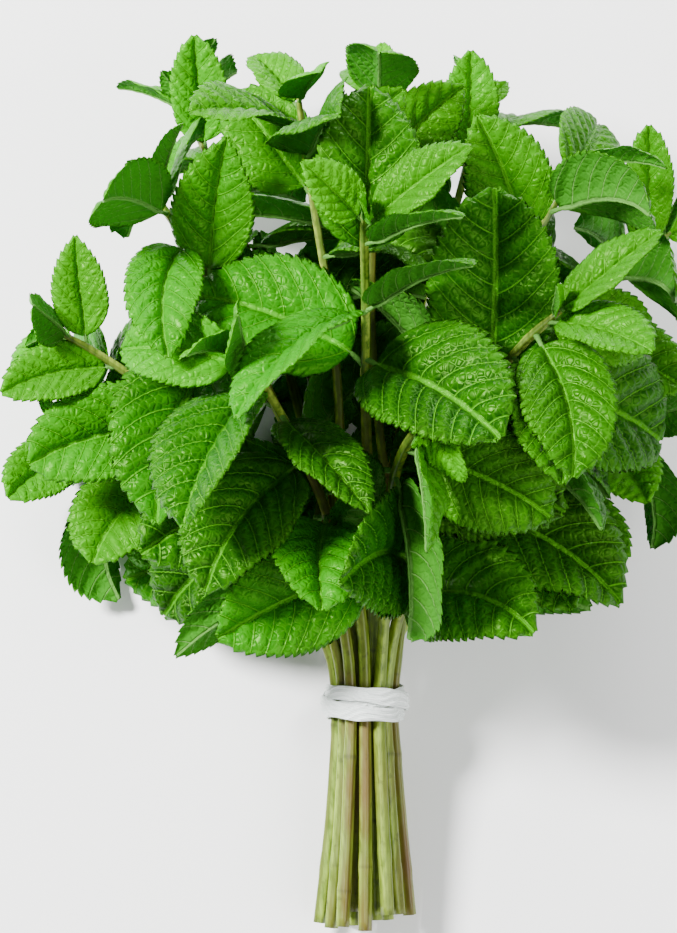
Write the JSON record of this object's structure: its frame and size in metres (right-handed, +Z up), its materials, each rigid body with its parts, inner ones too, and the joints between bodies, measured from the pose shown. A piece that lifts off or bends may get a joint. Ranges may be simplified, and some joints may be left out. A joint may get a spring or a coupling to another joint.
{
  "type": "tied bunch of mint sprigs",
  "caption": "Fresh mint bunch lying on its side: leafy sprigs with toothed, deeply veined leaves on square stems, held together by a white band round the bare stem ends.",
  "frame": {"origin": "On the surface that the bunch lies on, under the middle of its bounding box.", "axes": "+Y runs along the bunch from the cut stem ends to the leaf tips, +X is across the bunch, and +Z is up from the surface."},
  "size_m": [0.177, 0.2224, 0.1219],
  "materials": {
    "leaf": "satin",
    "young_leaf": "satin",
    "stem": "satin",
    "band": "satin"
  },
  "bodies": {
    "root": {"crown_01": "young_leaf", "crown_02": "young_leaf", "crown_03": "young_leaf", "crown_04": "young_leaf", "crown_05": "young_leaf", "crown_06": "young_leaf", "crown_07": "young_leaf", "crown_08": "young_leaf", "crown_09": "young_leaf", "crown_10": "young_leaf", "crown_11": "young_leaf", "crown_12": "young_leaf", "crown_13": "young_leaf", "crown_14": "young_leaf", "crown_15": "young_leaf", "crown_16": "young_leaf", "leaf_pair_01b": "leaf", "leaf_pair_01c": "leaf", "leaf_pair_02a": "leaf", "leaf_pair_02b": "leaf", "leaf_pair_03a": "leaf", "leaf_pair_03b": "leaf", "leaf_pair_04a": "leaf", "leaf_pair_04b": "leaf", "leaf_pair_05a": "leaf", "leaf_pair_05b": "leaf", "leaf_pair_06a": "leaf", "leaf_pair_06b": "leaf", "leaf_pair_07a": "leaf", "leaf_pair_07b": "leaf", "leaf_pair_08a": "leaf", "leaf_pair_08b": "leaf", "leaf_pair_09b": "leaf", "leaf_pair_12a": "leaf", "leaf_pair_14a": "leaf", "leaf_pair_14b": "leaf", "leaf_pair_15a": "leaf", "stem_01": "stem", "stem_02": "stem", "stem_03": "stem", "stem_04": "stem", "stem_05": "stem", "stem_06": "stem", "stem_07": "stem", "stem_08": "stem", "stem_09": "stem", "stem_10": "stem", "stem_11": "stem", "stem_12": "stem", "stem_13": "stem", "stem_14": "stem", "stem_15": "stem", "stem_16": "stem", "tie_band": "band"}
  },
  "joints": []
}
